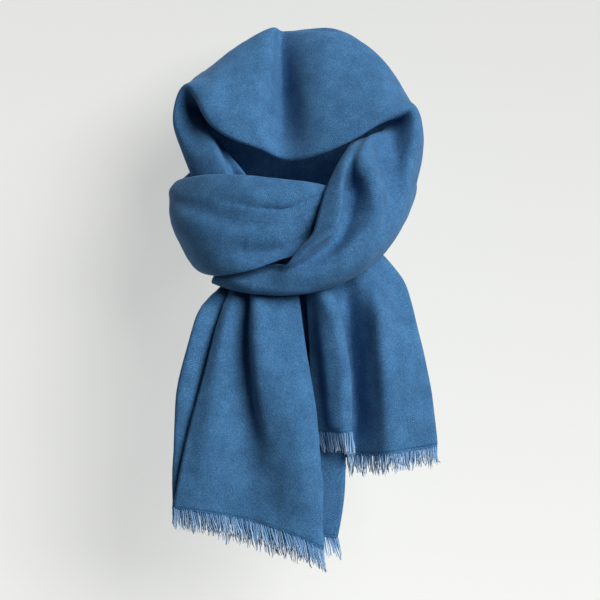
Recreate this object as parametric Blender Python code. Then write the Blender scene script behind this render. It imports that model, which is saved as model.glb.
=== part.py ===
"""An oversized woven scarf, wound once and a half round an absent neck, with both ends hanging in front.

Frame: x to the viewer's right, y to the back, z up, in metres. The origin is the nape, where the neck carries the wrap.
The tables are in millimetres, measured from the neck's axis at the height of the nape. Each table is one stretch of the
cloth: a row is a section across the cloth, and a column is one fold line, edge or ridge that runs along the stretch.
"""

import bmesh
import bpy
import numpy as np

MM = 0.001
NAPE_Y = 69.5  # from the neck's axis back to the inner face of the cloth at the nape
CLOTH = 1.6  # wall of the napped twill, nap included
SEAM = 0.3  # gap between two stretches of the one cloth

CLOTH_COLOUR = (0.082, 0.205, 0.392, 1.0)
FRINGE_COLOUR = (0.105, 0.245, 0.440, 1.0)

# The rise on the left and the swag behind the neck, whose front face hangs over the neck opening.
# Columns: inner_edge, inner_fold, inner_dip, inner_ridge, hollow, lower_fold, face, crown, crown_dip, rear_crest, back,
# back_edge.
RISE_AND_SWAG = (
    # rise on the left, from its tucked foot behind the cowl
    ((-38, -40, -62), (-40, -58, -50), (-60, -44, -50), (-66, -56, -50), (-88, -46, -50), (-104, -36, -50),
     (-107, -24, -54), (-101, -12, -58), (-96, -6, -60), (-90, -2, -61), (-84, 1, -62), (-76, 4, -62)),
    ((-52, -15, -26), (-56, -44, 6), (-75, -31, 8), (-79, -44, 9), (-102, -36, 8), (-119, -22, 8),
     (-121, -6, 0), (-118, 8, -6), (-114, 14, -10), (-109, 19, -15), (-100, 23, -21), (-87, 24, -30)),
    ((-70, 20, -12), (-81, -6, 37), (-92, -4, 44), (-98, -28, 50), (-122, -16, 54), (-142, -8, 60),
     (-141, 8, 50), (-135, 20, 42), (-131, 26, 37), (-127, 31, 31), (-118, 37, 18), (-100, 40, -5)),
    ((-75, 34, -8), (-88, 10, 48), (-99, 10, 58), (-110, 2, 76), (-128, 8, 84), (-146, -3, 92),
     (-147, 14, 86), (-142, 28, 80), (-139, 34, 76), (-134, 40, 68), (-122, 46, 46), (-104, 46, 12)),
    # the swag
    ((-75, 46, -14), (-83, 40, 34), (-95, 36, 54), (-105, 24, 80), (-120, 12, 98), (-130, -10, 119),
     (-125, 6, 125), (-128, 27, 125), (-126, 38, 123), (-123, 50, 115), (-112, 63, 84), (-96, 63, 28)),
    ((-71, 55, -26), (-77, 51, 16), (-88, 45, 48), (-97, 31, 78), (-108, 6, 92), (-117, -28, 97),
     (-103, -17, 119), (-109, 28, 140), (-107, 42, 140), (-104, 57, 132), (-99, 75, 95), (-88, 73, 30)),
    ((-64, 62, -38), (-70, 61, -2), (-78, 55, 34), (-87, 38, 66), (-97, -2, 80), (-103, -38, 71),
     (-92, -23, 113), (-91, 30, 155), (-89, 45, 156), (-88, 61, 150), (-85, 84, 106), (-80, 82, 31)),
    ((-40, 68, -50), (-44, 67, -18), (-49, 63, 16), (-56, 49, 53), (-66, -10, 74), (-67, -45, 46),
     (-64, -18, 111), (-58, 38, 178), (-57, 52, 177), (-58, 66, 171), (-59, 92, 118), (-58, 90, 32)),
    ((-26, 70, -56), (-28, 69, -22), (-30, 66, 10), (-33, 54, 48), (-36, -6, 64), (-37, -43, 35),
     (-35, -7, 108), (-28, 46, 193), (-28, 60, 190), (-27, 76, 186), (-26, 98, 122), (-25, 94, 34)),
    ((-4, 71, -57), (-5, 70, -24), (-6, 67, 9), (-8, 57, 44), (-12, -4, 54), (-16, -41, 26),
     (-18, 25, 104), (-20, 60, 190), (-17, 67, 188), (-10, 77, 192), (-2, 100, 122), (0, 96, 34)),
    ((20, 70, -55), (20, 68, -23), (21, 65, 9), (22, 54, 46), (18, -8, 60), (14, -50, 27),
     (10, -8, 104), (8, 46, 190), (12, 62, 185), (20, 77, 197), (24, 98, 121), (26, 94, 33)),
    ((46, 65, -49), (50, 63, -20), (54, 59, 12), (60, 44, 50), (66, -22, 72), (62, -60, 45),
     (60, -27, 106), (62, 36, 185), (61, 52, 180), (60, 68, 192), (64, 92, 114), (62, 88, 30)),
    ((66, 48, -34), (71, 43, -6), (77, 34, 20), (85, 14, 54), (94, -6, 74), (98, -54, 70),
     (105, -28, 106), (104, 30, 155), (103, 43, 152), (101, 58, 155), (99, 78, 100), (90, 75, 26)),
    # the sweep down the right, whose last columns are its inner lip, and the band that passes under the cowl
    ((80, 12, 24), (84, 6, 38), (89, 4, 46), (88, 4, 52), (107, -2, 75), (122, -44, 83),
     (117, -18, 104), (128, 22, 119), (127, 34, 118), (125, 46, 115), (119, 60, 77), (106, 60, 20)),
    ((71, -30, 52), (76, -40, 53), (82, -38, 54), (94, -33, 60), (117, -4, 69), (139, -32, 88),
     (143, -5, 95), (147, 20, 84), (145, 30, 81), (142, 38, 77), (135, 45, 60), (124, 44, 26)),
    ((57, -64, 36), (63, -76, 36), (69, -78, 35), (80, -80, 40), (115, -26, 44), (143, -38, 64),
     (152, -6, 62), (150, 16, 60), (149, 24, 57), (146, 30, 53), (141, 35, 42), (132, 35, 22)),
    ((41, -90, 4), (54, -105, 2), (61, -89, -1), (88, -101, 8), (117, -54, 12), (135, -54, 20),
     (149, -16, 26), (148, 4, 24), (147, 10, 22), (144, 15, 18), (140, 19, 10), (132, 19, -2)),
    ((29, -106, -30), (54, -119, -30), (54, -98, -38), (98, -102, -22), (117, -74, -18), (129, -62, -14),
     (138, -34, -15), (137, -18, -20), (135, -12, -23), (133, -8, -26), (129, -5, -30), (122, -6, -37)),
    ((17, -119, -64), (40, -130, -62), (38, -108, -72), (68, -116, -75), (89, -106, -78), (102, -91, -78),
     (103, -74, -84), (99, -64, -88), (97, -61, -89), (95, -59, -89), (91, -57, -88), (86, -57, -86)),
    ((-1, -119, -86), (10, -127, -83), (8, -111, -95), (17, -118, -105), (23, -118, -113), (26, -110, -123),
     (26, -100, -127), (25, -94, -126), (24, -92, -123), (23, -91, -119), (22, -90, -114), (20, -90, -109)),
    ((-13, -115, -98), (-13, -116, -100), (-13, -114, -103), (-12, -116, -108), (-12, -116, -117), (-12, -110, -128),
     (-12, -101, -131), (-12, -94, -130), (-12, -92, -127), (-12, -91, -123), (-12, -90, -118), (-12, -90, -112)),
    ((-28, -98, -96), (-28, -99, -98), (-28, -99, -101), (-28, -105, -108), (-29, -109, -118), (-30, -106, -128),
     (-30, -98, -131), (-30, -92, -130), (-30, -90, -127), (-30, -89, -123), (-30, -88, -118), (-29, -88, -111)),
    ((-50, -92, -100), (-50, -93, -102), (-50, -93, -105), (-50, -98, -111), (-52, -103, -118), (-53, -101, -126),
     (-53, -94, -130), (-52, -89, -128), (-51, -87, -126), (-50, -86, -122), (-50, -84, -118), (-49, -84, -112)),
    ((-89, -53, -94), (-89, -54, -96), (-90, -55, -98), (-92, -57, -104), (-97, -60, -111), (-99, -58, -116),
     (-98, -50, -118), (-96, -44, -116), (-95, -42, -113), (-93, -41, -110), (-91, -40, -105), (-90, -40, -100)),
)

# The front crossing, or cowl, its turn round the left side, and the wrap behind, which ends under the sweep on the right.
# Columns: top_lip, top_edge, roll, crease, ridge, belly, bottom_edge, bottom_lip.
COWL_AND_WRAP = (
    ((66, -68, -16), (66, -77, -14), (64, -79, -20), (61, -78, -29), (57, -83, -40), (44, -91, -60), (26, -96, -80), (24, -86, -82)),
    ((36, -78, -10), (38, -86, -5), (37, -95, -14), (34, -90, -24), (31, -96, -38), (18, -105, -64), (2, -109, -88), (0, -96, -90)),
    ((-6, -78, -6), (-4, -88, 2), (-4, -107, -29), (-6, -101, -43), (-7, -109, -56), (-12, -114, -76), (-22, -110, -96), (-22, -104, -93)),
    ((-48, -76, 0), (-48, -83, 7), (-48, -106, -30), (-49, -100, -46), (-51, -108, -60), (-54, -113, -82), (-56, -106, -104), (-54, -99, -100)),
    ((-95, -56, 3), (-98, -61, 10), (-101, -80, -20), (-104, -80, -36), (-108, -88, -50), (-104, -93, -76), (-92, -84, -109), (-89, -78, -104)),
    ((-131, -13, 0), (-138, -14, 6), (-147, -21, -6), (-147, -25, -18), (-149, -31, -34), (-140, -35, -66), (-114, -28, -104), (-106, -22, -98)),
    ((-128, 37, 4), (-133, 40, 12), (-145, 45, -4), (-146, 47, -18), (-144, 49, -34), (-134, 49, -58), (-115, 41, -87), (-106, 37, -81)),
    ((-97, 89, 42), (-101, 94, 50), (-108, 104, 30), (-109, 105, 12), (-108, 102, -4), (-105, 106, -30), (-92, 93, -62), (-86, 85, -58)),
    ((-44, 97.8, 82), (-46, 106, 88), (-48, 120, 68), (-48, 120, 48), (-48, 114, 30), (-48, 120, 2), (-44, 106, -36), (-42, 96, -32)),
    ((8, 102.7, 94), (8, 111, 99), (8, 125, 78), (8, 125, 58), (8, 118, 40), (8, 124, 10), (8, 110, -32), (8, 100, -28)),
    ((57, 103, 82), (59, 108, 88), (61, 121, 70), (61, 121, 50), (61, 115, 32), (61, 119, 4), (57, 106, -36), (55, 96, -32)),
    ((107, 89, 52), (111, 93, 58), (116, 97, 42), (118, 97, 26), (116, 93, 8), (111, 92, -18), (95, 82, -54), (89, 75, -48)),
    ((135, 58, 24), (140, 60, 30), (145, 62, 16), (146, 61, 2), (141, 60, -12), (131, 56, -37), (107, 48, -66), (99, 42, -60)),
    ((135, 32, 0), (140, 32, 4), (143, 34, -6), (143, 34, -16), (138, 33, -28), (129, 32, -46), (108, 27, -68), (100, 23, -62)),
    ((110, 6, -48), (116, 8, -50), (120, 12, -56), (119, 13, -61), (117, 14, -66), (112, 14, -74), (101, 12, -86), (95, 9, -82)),
)

# The left end, folded in three: front panel, middle layer and back panel.
# Columns: selvedge, left_panel, pleat_valley, pleat_ridge, right_panel, right_fold_front, right_fold_back, middle_right,
# middle_left, left_fold_front, left_fold_back, back_left, back_right, back_selvedge.
TAIL_LEFT = (
    ((-58, -61, -72), (-50, -64, -72), (-43, -66, -72), (-37, -69, -72), (-18, -73, -72), (-2, -73, -72),
     (-1, -69, -72), (-18, -68, -72), (-46, -61, -72), (-62, -53, -72), (-60, -49, -72), (-42, -59, -72), (-10, -64, -72), (8, -64, -72)),
    ((-70, -58, -112), (-60, -63, -112), (-52, -64, -112), (-45, -72, -112), (-22, -76, -112), (-1, -74, -112),
     (0, -69, -112), (-20, -66, -112), (-62, -53, -112), (-82, -48, -113), (-80, -43, -113), (-58, -50, -112), (-8, -61, -112), (20, -61, -112)),
    ((-84, -77, -142), (-74, -86, -142), (-54, -67, -142), (-50, -96, -142), (-26, -93, -142), (3, -84, -142),
     (3, -76, -142), (-22, -67, -142), (-76, -64, -142), (-107, -69.5, -142), (-107, -60, -142), (-70, -54, -142), (0, -59, -142), (34, -60, -142)),
    ((-97, -94, -184), (-85, -103, -184), (-56, -76, -184), (-51, -112, -184), (-24, -105, -184), (9, -92, -184),
     (9, -83, -184), (-24, -72, -184), (-86, -73, -184), (-123, -84, -184), (-123, -74, -184), (-80, -60, -184), (4, -62, -184), (44, -62, -184)),
    ((-112, -96, -240), (-92, -105, -240), (-53, -80, -240), (-45, -111, -240), (-18, -106, -240), (18, -93, -240),
     (18, -84, -240), (-24, -76, -240), (-93, -76, -240), (-137, -86, -240), (-137, -76, -240), (-86, -62, -240), (8, -63, -240), (52, -63, -240)),
    ((-127, -94, -298), (-101, -103, -298), (-49, -87, -298), (-34, -105, -298), (-8, -104, -298), (22, -95, -298),
     (22, -86, -298), (-24, -78, -298), (-98, -78, -298), (-141, -86, -298), (-141, -77, -298), (-90, -64, -298), (10, -65, -298), (57, -65, -298)),
    ((-137, -90, -346), (-108, -96, -352), (-56, -90, -358), (-26, -97, -363), (0, -99, -368), (27, -94, -371),
     (27, -86, -371), (-24, -80, -364), (-104, -79, -350), (-143, -83, -345), (-143, -75, -345), (-92, -66, -350), (10, -67, -364), (57, -67, -368)),
    ((-144, -86, -381), (-114, -92, -385), (-60, -90, -394), (-28, -94, -403), (2, -97, -414), (31, -94, -429),
     (31, -87, -429), (-22, -81, -416), (-108, -79, -390), (-143, -81, -380), (-143, -73, -380), (-94, -67, -390), (6, -68, -412), (49, -68, -418)),
)

# The right end: a narrow roll in front, a deep tuck beside it, the panel on the right and its return behind.
# Columns: roll_selvedge, roll_left, roll_front, roll_right, tuck, recess, panel_left, panel_ridge, panel_valley,
# right_fold_front, right_fold_back, back_panel, back_selvedge.
TAIL_RIGHT = (
    ((14, -71, -84), (18, -73, -84), (26, -74, -84), (34, -71, -84), (36, -66, -84), (48, -60, -84), (60, -54, -84),
     (70, -44, -82), (82, -35, -78), (93, -26, -74), (90, -17, -74), (76, -26, -80), (58, -44, -84)),
    ((12, -72, -112), (16, -77, -112), (26, -81, -112), (36, -77, -112), (38, -68, -112), (55, -58, -112), (72, -62, -112),
     (90, -60, -112), (105, -48, -112), (125, -38, -112), (123, -28, -112), (98, -35, -112), (63, -48, -112)),
    ((13, -72, -150), (22, -80, -150), (38, -95, -150), (50, -88, -150), (48, -74, -150), (60, -60, -150), (82, -80, -150),
     (98, -92, -150), (120, -64, -150), (137, -57, -150), (136, -47, -150), (106, -45, -150), (57, -53, -150)),
    ((15, -71, -194), (28, -81, -194), (48, -100, -194), (60, -92, -194), (56, -76, -194), (64, -60, -194), (84, -84, -194),
     (101, -99, -194), (125, -79, -194), (147, -68, -194), (147, -58, -194), (112, -48, -194), (51, -56, -194)),
    ((18, -72, -242), (34, -82, -242), (53, -101, -242), (65, -93, -242), (60, -77, -242), (68, -62, -242), (88, -86, -242),
     (105, -101, -242), (129, -84, -242), (157, -71, -242), (157, -61, -242), (118, -50, -242), (48, -61, -242)),
    ((23, -73, -284), (38, -83, -286), (54, -98, -286), (66, -92, -285), (60, -79, -290), (68, -65, -296), (88, -83, -298),
     (108, -98, -298), (135, -84, -294), (162, -72, -290), (162, -62, -290), (122, -52, -296), (50, -63, -300)),
    ((24, -73, -291), (39, -83.5, -293), (55, -97.5, -293), (66.2, -91.5, -292), (60, -79, -299), (67, -67, -318), (88, -81, -320),
     (110, -94, -318), (136, -83, -314), (164, -73, -310), (164, -63, -310), (122, -54, -318), (50, -63.6, -324)),
)


# Frayed ends. Each row is (name, end, first column, last column, strands, (length at the first, at the last), seed).
FRINGES = (
    ("fringe_left_front", "left", 0.0, 5.55, 46, (24, 32), 3),
    ("fringe_left_middle", "left", 5.65, 9.35, 22, (28, 24), 5),
    ("fringe_left_back", "left", 9.45, 13.0, 36, (24, 29), 7),
    ("fringe_right_roll", "right", 0.0, 2.65, 12, (26, 27), 11),
    ("fringe_right_panel", "right", 5.15, 9.45, 32, (24, 25), 13),
    ("fringe_right_back", "right", 9.55, 12.0, 18, (25, 24), 17),
)
BACKING = 4.0  # depth of the strip that the strands are fused into
STRAND_SHARE = 0.55  # of the hem is strand, and the rest is gap


def spline_through(points, times, at):
    """Natural cubic spline through points at the given times, along axis 0."""
    count = len(points)
    flat = points.reshape(count, -1)
    steps = np.diff(times)
    slopes = np.diff(flat, axis=0) / steps[:, None]
    system = np.eye(count)
    right = np.zeros_like(flat)
    for i in range(1, count - 1):
        system[i, i - 1 : i + 2] = steps[i - 1], 2 * (steps[i - 1] + steps[i]), steps[i]
        right[i] = 6 * (slopes[i] - slopes[i - 1])
    bends = np.linalg.solve(system, right)
    at = np.asarray(at, float)
    i = np.clip(np.searchsorted(times, at, side="right") - 1, 0, count - 2)
    h, a, b = steps[i][:, None], (times[i + 1] - at)[:, None], (at - times[i])[:, None]
    value = (bends[i] * a**3 + bends[i + 1] * b**3) / (6 * h)
    value += (flat[i] / h - bends[i] * h / 6) * a + (flat[i + 1] / h - bends[i + 1] * h / 6) * b
    return value.reshape((len(at),) + points.shape[1:])


def across(rows, at):
    """Each row as a centripetal curve through its own points, read at the given column numbers."""
    first = 2 * rows[:, :1] - rows[:, 1:2]
    last = 2 * rows[:, -1:] - rows[:, -2:-1]
    padded = np.concatenate([first, rows, last], axis=1)
    at = np.asarray(at, float)
    i = np.clip(np.floor(at).astype(int), 0, rows.shape[1] - 2)
    p0, p1, p2, p3 = (padded[:, i + k] for k in range(4))

    def gap(a, b):
        return np.maximum(np.linalg.norm(b - a, axis=-1, keepdims=True), 1e-6) ** 0.5

    t1 = gap(p0, p1)
    t2 = t1 + gap(p1, p2)
    t3 = t2 + gap(p2, p3)
    t = t1 + (t2 - t1) * (at - i)[None, :, None]
    a1 = ((t1 - t) * p0 + t * p1) / t1
    a2 = ((t2 - t) * p1 + (t - t1) * p2) / (t2 - t1)
    a3 = ((t3 - t) * p2 + (t - t2) * p3) / (t3 - t2)
    b1 = ((t2 - t) * a1 + t * a2) / t2
    b2 = ((t3 - t) * a2 + (t - t1) * a3) / (t3 - t1)
    return ((t2 - t) * b1 + (t - t1) * b2) / (t2 - t1)


class Stretch:
    """A smooth surface through a table of sections, read at (row number, column number)."""

    def __init__(self, table):
        self.table = np.array(table, float)
        between = np.linalg.norm(np.diff(self.table, axis=0), axis=2).mean(axis=1)
        self.times = np.concatenate([[0.0], np.cumsum(between)])

    def points(self, rows, columns):
        times = np.interp(rows, np.arange(len(self.times)), self.times)
        return across(spline_through(self.table, self.times, times), columns)

    def normals(self, rows, columns):
        rows, columns = np.asarray(rows, float), np.asarray(columns, float)
        e = 0.02
        along = self.points(np.minimum(rows + e, len(self.times) - 1), columns) - self.points(np.maximum(rows - e, 0), columns)
        last = self.table.shape[1] - 1
        over = self.points(rows, np.minimum(columns + e, last)) - self.points(rows, np.maximum(columns - e, 0))
        normal = np.cross(over, along)
        return normal / np.linalg.norm(normal, axis=2, keepdims=True)

    def half_wall(self, rows, columns):
        """Half the wall, pinched where a fold is tighter than the cloth is thick."""
        rows, columns = np.asarray(rows, float), np.asarray(columns, float)
        e, half = 0.04, np.full((len(rows), len(columns)), CLOTH / 2)
        r = np.clip(rows, e, len(self.times) - 1 - e)
        c = np.clip(columns, e, self.table.shape[1] - 1 - e)
        here = self.points(r, c)
        for before, after in ((self.points(r - e, c), self.points(r + e, c)), (self.points(r, c - e), self.points(r, c + e))):
            a, b = here - before, after - here
            turn = np.linalg.norm(np.cross(a, b), axis=2)
            radius = np.linalg.norm(a, axis=2) * np.linalg.norm(b, axis=2) * np.linalg.norm(a + b, axis=2) / np.maximum(2 * turn, 1e-9)
            half = np.minimum(half, np.maximum(0.7 * radius, 0.35))
        return half


def spread(first, last, per_step):
    """Row or column numbers from first to last, through every whole number between them."""
    whole = [first] + [i for i in range(int(first) + 1, int(np.ceil(last)))] + [last]
    out = [first]
    for a, b in zip(whole, whole[1:]):
        parts = max(1, round((b - a) * per_step))
        out += [a + (b - a) * k / parts for k in range(1, parts + 1)]
    return np.array(out)


def finish(name, vertices, faces, colour):
    mesh = bpy.data.meshes.new(name)
    moved = (np.array(vertices, float) - (0, NAPE_Y, 0)) * MM
    mesh.from_pydata([tuple(v) for v in moved], [], faces)
    work = bmesh.new()
    work.from_mesh(mesh)
    bmesh.ops.recalc_face_normals(work, faces=work.faces)
    if work.calc_volume(signed=True) < 0:
        bmesh.ops.reverse_faces(work, faces=work.faces)
    work.to_mesh(mesh)
    work.free()
    material = bpy.data.materials.new(name)
    material.use_nodes = True
    shader = material.node_tree.nodes["Principled BSDF"]
    shader.inputs["Base Color"].default_value = colour
    shader.inputs["Roughness"].default_value = 0.9
    mesh.materials.append(material)
    obj = bpy.data.objects.new(name, mesh)
    bpy.context.scene.collection.objects.link(obj)
    return obj


def wall(name, middle, half):
    """A closed wall on both sides of a grid of points, each side at this offset."""
    rows, columns = middle.shape[:2]
    vertices = np.concatenate([(middle + half).reshape(-1, 3), (middle - half).reshape(-1, 3)])

    def at(i, j, side):
        return side * rows * columns + i * columns + j

    faces = []
    for i in range(rows - 1):
        for j in range(columns - 1):
            faces.append((at(i, j, 0), at(i, j + 1, 0), at(i + 1, j + 1, 0), at(i + 1, j, 0)))
            faces.append((at(i, j, 1), at(i + 1, j, 1), at(i + 1, j + 1, 1), at(i, j + 1, 1)))
    for i in range(rows - 1):
        for j in (0, columns - 1):
            faces.append((at(i, j, 0), at(i + 1, j, 0), at(i + 1, j, 1), at(i, j, 1)))
    for j in range(columns - 1):
        for i in (0, rows - 1):
            faces.append((at(i, j, 0), at(i, j, 1), at(i, j + 1, 1), at(i, j + 1, 0)))
    return finish(name, vertices, faces, CLOTH_COLOUR)


def build_stretch(table, pieces, columns_per_step):
    """Cuts a stretch into its pieces, each (name, first row, last row, rows per step)."""
    stretch = Stretch(table)
    columns = spread(0, stretch.table.shape[1] - 1, columns_per_step)
    for name, first, last, per_step in pieces:
        gap = SEAM / 2 / np.interp([first, last], np.arange(len(stretch.times) - 1) + 0.5, np.diff(stretch.times))
        start = first + (gap[0] if first > 0 else 0)
        end = last - (gap[1] if last < len(stretch.times) - 1 else 0)
        rows = spread(start, end, per_step)
        half = stretch.normals(rows, columns) * stretch.half_wall(rows, columns)[:, :, None]
        wall(name, stretch.points(rows, columns), half)
    return stretch


def fringe(name, stretch, first, last, count, length, seed):
    """Strands down from a narrow strip that hangs a seam's width below the hem."""
    end = len(stretch.times) - 1
    fine = np.linspace(first, last, 40 * count)
    hem = stretch.points([end], fine)[0]
    run = np.concatenate([[0.0], np.cumsum(np.linalg.norm(np.diff(hem, axis=0), axis=1))])
    widths = np.array([1 - STRAND_SHARE, STRAND_SHARE] * count + [1 - STRAND_SHARE])
    marks = np.concatenate([[0.0], np.cumsum(widths)]) / widths.sum() * run[-1]
    columns = np.interp(marks, run, fine)
    hem = stretch.points([end], columns)[0]
    down = hem - stretch.points([end - 0.1], columns)[0]
    down /= np.linalg.norm(down, axis=1, keepdims=True)
    down = 0.15 * down + 0.85 * down.mean(axis=0)
    down /= np.linalg.norm(down, axis=1, keepdims=True)
    half = stretch.normals([end], columns)[0] * CLOTH / 2
    top, bottom = hem + down * SEAM, hem + down * (SEAM + BACKING)
    vertices = list(np.concatenate([top + half, top - half, bottom + half, bottom - half]))
    n, chance, faces = len(hem), np.random.default_rng(seed), []
    for j in range(n - 1):
        a, b, c, d = j, j + n, j + 2 * n, j + 3 * n
        faces += [(a, a + 1, b + 1, b), (a, c, c + 1, a + 1), (b, b + 1, d + 1, d)]
        if j % 2 == 0:
            faces.append((c, d, d + 1, c + 1))
            continue
        ring = np.array([vertices[k] for k in (c, c + 1, d + 1, d)])
        across_hem = ring[1] - ring[0]
        sway = chance.uniform(-0.04, 0.04) * across_hem / np.linalg.norm(across_hem) + chance.uniform(-0.04, 0.04) * half[j]
        reach = np.interp(j, (0, n), length) * chance.uniform(0.88, 1.0) - BACKING
        tip = (ring - ring.mean(axis=0)) * 0.55 + ring.mean(axis=0) + (down[j] + sway) * reach
        k = len(vertices)
        vertices += list(tip)
        for m, (p, q) in enumerate(((c, c + 1), (c + 1, d + 1), (d + 1, d), (d, c))):
            faces.append((p, k + m, k + (m + 1) % 4, q))
        faces.append((k, k + 3, k + 2, k + 1))
    faces += [(0, n, 3 * n, 2 * n), (n - 1, 3 * n - 1, 4 * n - 1, 2 * n - 1)]
    return finish(name, vertices, faces, FRINGE_COLOUR)


for old in list(bpy.data.objects):
    bpy.data.objects.remove(old)

build_stretch(
    RISE_AND_SWAG,
    (
        ("left_rise", 0, 4, 2),
        ("hood_left", 4, 7, 2),
        ("hood_middle", 7, 10, 2),
        ("hood_right", 10, 13, 2),
        ("right_sweep_upper", 13, 15, 3),
        ("right_sweep_lower", 15, 18, 2),
        ("under_band", 18, 23, 2),
    ),
    2,
)
build_stretch(
    COWL_AND_WRAP,
    (
        ("cowl_right", 0, 2, 2),
        ("cowl_left", 2, 4, 2),
        ("left_round", 4, 6, 2),
        ("back_wrap_left", 6, 8, 2),
        ("back_wrap_middle", 8, 10, 2),
        ("back_wrap_right", 10, 12, 2),
        ("right_fall", 12, 14, 2),
    ),
    2,
)
left_end = build_stretch(TAIL_LEFT, (("tail_left", 0, 7, 2),), 2)
right_end = build_stretch(TAIL_RIGHT, (("tail_right", 0, 6, 2),), 2)
for name, end, *rest in FRINGES:
    fringe(name, left_end if end == "left" else right_end, *rest)
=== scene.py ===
import math

import bpy
import numpy as np
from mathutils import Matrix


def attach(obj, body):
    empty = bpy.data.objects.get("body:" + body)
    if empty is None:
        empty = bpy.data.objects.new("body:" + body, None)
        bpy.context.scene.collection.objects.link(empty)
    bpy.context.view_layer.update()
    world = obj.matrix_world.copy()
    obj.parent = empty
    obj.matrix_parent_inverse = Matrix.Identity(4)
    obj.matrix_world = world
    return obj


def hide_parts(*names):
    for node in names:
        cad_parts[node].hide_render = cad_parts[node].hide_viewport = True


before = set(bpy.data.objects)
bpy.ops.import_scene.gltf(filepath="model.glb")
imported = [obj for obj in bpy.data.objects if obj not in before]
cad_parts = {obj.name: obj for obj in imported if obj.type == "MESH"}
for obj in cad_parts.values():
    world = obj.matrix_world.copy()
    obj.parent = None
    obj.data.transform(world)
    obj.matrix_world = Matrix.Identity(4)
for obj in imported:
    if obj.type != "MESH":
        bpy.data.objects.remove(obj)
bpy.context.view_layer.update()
print("frame loaded:", len(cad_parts), "nodes")

mm = 0.001
napeY = 69.5  # the frame's origin is the nape, this far behind the neck's axis

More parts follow.
